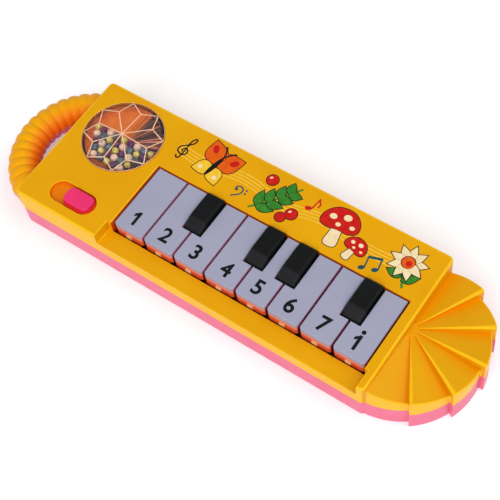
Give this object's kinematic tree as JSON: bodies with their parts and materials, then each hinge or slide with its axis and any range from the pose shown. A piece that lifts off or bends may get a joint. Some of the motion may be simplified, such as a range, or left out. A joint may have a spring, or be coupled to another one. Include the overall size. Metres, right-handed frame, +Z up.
{
  "type": "toy piano",
  "caption": "Hand-held electronic toy piano: yellow over pink case with a ribbed handle, white piano keys, bead window, power slider and a pleated fan end.",
  "frame": {"origin": "middle of the base, under the middle of the overall length", "axes": "+X along the keys from the handle to the fan, +Y from front to back, +Z up"},
  "size_m": [0.1975, 0.0576, 0.0217],
  "materials": {
    "yellow_plastic": "moulded satin gloss",
    "pink_plastic": "moulded satin gloss",
    "white_plastic": "moulded gloss",
    "black_plastic": "moulded gloss",
    "hot_pink_plastic": "moulded gloss",
    "clear_plastic": "clear moulded styrene",
    "orange_plastic": "moulded satin",
    "bead_yellow": "pearly",
    "bead_purple": "pearly",
    "bead_pale": "pearly",
    "bead_blue": "pearly",
    "screw_steel": "zinc plated",
    "rod_steel": "drawn steel",
    "board_laminate": "phenolic board",
    "pad_rubber": "silicone rubber",
    "chip_resin": "cured resin",
    "switch_housing": "pressed steel",
    "switch_lever_plastic": "moulded",
    "cell_wrap": "printed film",
    "contact_metal": "nickel plated",
    "speaker_steel": "plated steel",
    "magnet_ferrite": "ferrite",
    "cone_paper": "pressed paper",
    "wire_cover": "vinyl"
  },
  "bodies": {
    "case": {"top_cover": "yellow_plastic", "bottom_cover": "pink_plastic", "battery_door": "pink_plastic", "battery_door_screw": "screw_steel", "case_screws": "screw_steel", "key_pivot_rod": "rod_steel", "black_key_bar": "black_plastic", "bar_screws": "screw_steel", "main_board": "board_laminate", "board_screws": "screw_steel", "contact_pad_strip": "pad_rubber", "sound_chip": "chip_resin", "dome_window": "clear_plastic", "bead_tray": "orange_plastic", "slide_switch_body": "switch_housing", "battery_cells": "cell_wrap", "battery_terminals": "contact_metal", "battery_bridge": "contact_metal", "speaker_frame": "speaker_steel", "speaker_magnet": "magnet_ferrite", "speaker_cone": "cone_paper", "speaker_wires": "wire_cover", "power_wires": "wire_cover", "beads_yellow": "bead_yellow", "beads_purple": "bead_purple", "beads_pale": "bead_pale", "beads_blue": "bead_blue"},
    "key_1": {"white_key_1": "white_plastic"},
    "key_2": {"white_key_2": "white_plastic"},
    "key_3": {"white_key_3": "white_plastic"},
    "key_4": {"white_key_4": "white_plastic"},
    "key_5": {"white_key_5": "white_plastic"},
    "key_6": {"white_key_6": "white_plastic"},
    "key_7": {"white_key_7": "white_plastic"},
    "key_8": {"white_key_8": "white_plastic"},
    "power_switch": {"switch_knob": "hot_pink_plastic", "slide_switch_lever": "switch_lever_plastic"}
  },
  "joints": [
    {"name": "key_1_press", "type": "hinge", "parent": "case", "child": "key_1", "pos_m": [-0.031, 0.01855, 0.015], "axis": [1, 0, 0], "range_deg": [0, 3.5], "stiffness_Nm_per_rad": 0.2, "springref_deg": -3.44, "deforming": ["contact_pad_strip"]},
    {"name": "key_2_press", "type": "hinge", "parent": "case", "child": "key_2", "pos_m": [-0.018, 0.01855, 0.015], "axis": [1, 0, 0], "range_deg": [0, 3.5], "stiffness_Nm_per_rad": 0.2, "springref_deg": -3.44, "deforming": ["contact_pad_strip"]},
    {"name": "key_3_press", "type": "hinge", "parent": "case", "child": "key_3", "pos_m": [-0.005, 0.01855, 0.015], "axis": [1, 0, 0], "range_deg": [0, 3.5], "stiffness_Nm_per_rad": 0.2, "springref_deg": -3.44, "deforming": ["contact_pad_strip"]},
    {"name": "key_4_press", "type": "hinge", "parent": "case", "child": "key_4", "pos_m": [0.008, 0.01855, 0.015], "axis": [1, 0, 0], "range_deg": [0, 3.5], "stiffness_Nm_per_rad": 0.2, "springref_deg": -3.44, "deforming": ["contact_pad_strip"]},
    {"name": "key_5_press", "type": "hinge", "parent": "case", "child": "key_5", "pos_m": [0.021, 0.01855, 0.015], "axis": [1, 0, 0], "range_deg": [0, 3.5], "stiffness_Nm_per_rad": 0.2, "springref_deg": -3.44, "deforming": ["contact_pad_strip"]},
    {"name": "key_6_press", "type": "hinge", "parent": "case", "child": "key_6", "pos_m": [0.034, 0.01855, 0.015], "axis": [1, 0, 0], "range_deg": [0, 3.5], "stiffness_Nm_per_rad": 0.2, "springref_deg": -3.44, "deforming": ["contact_pad_strip"]},
    {"name": "key_7_press", "type": "hinge", "parent": "case", "child": "key_7", "pos_m": [0.047, 0.01855, 0.015], "axis": [1, 0, 0], "range_deg": [0, 3.5], "stiffness_Nm_per_rad": 0.2, "springref_deg": -3.44, "deforming": ["contact_pad_strip"]},
    {"name": "key_8_press", "type": "hinge", "parent": "case", "child": "key_8", "pos_m": [0.06, 0.01855, 0.015], "axis": [1, 0, 0], "range_deg": [0, 3.5], "stiffness_Nm_per_rad": 0.2, "springref_deg": -3.44, "deforming": ["contact_pad_strip"]},
    {"name": "switch_slide", "type": "slide", "parent": "case", "child": "power_switch", "axis": [1, 0, 0], "range_m": [-0.0059, 0]}
  ]
}
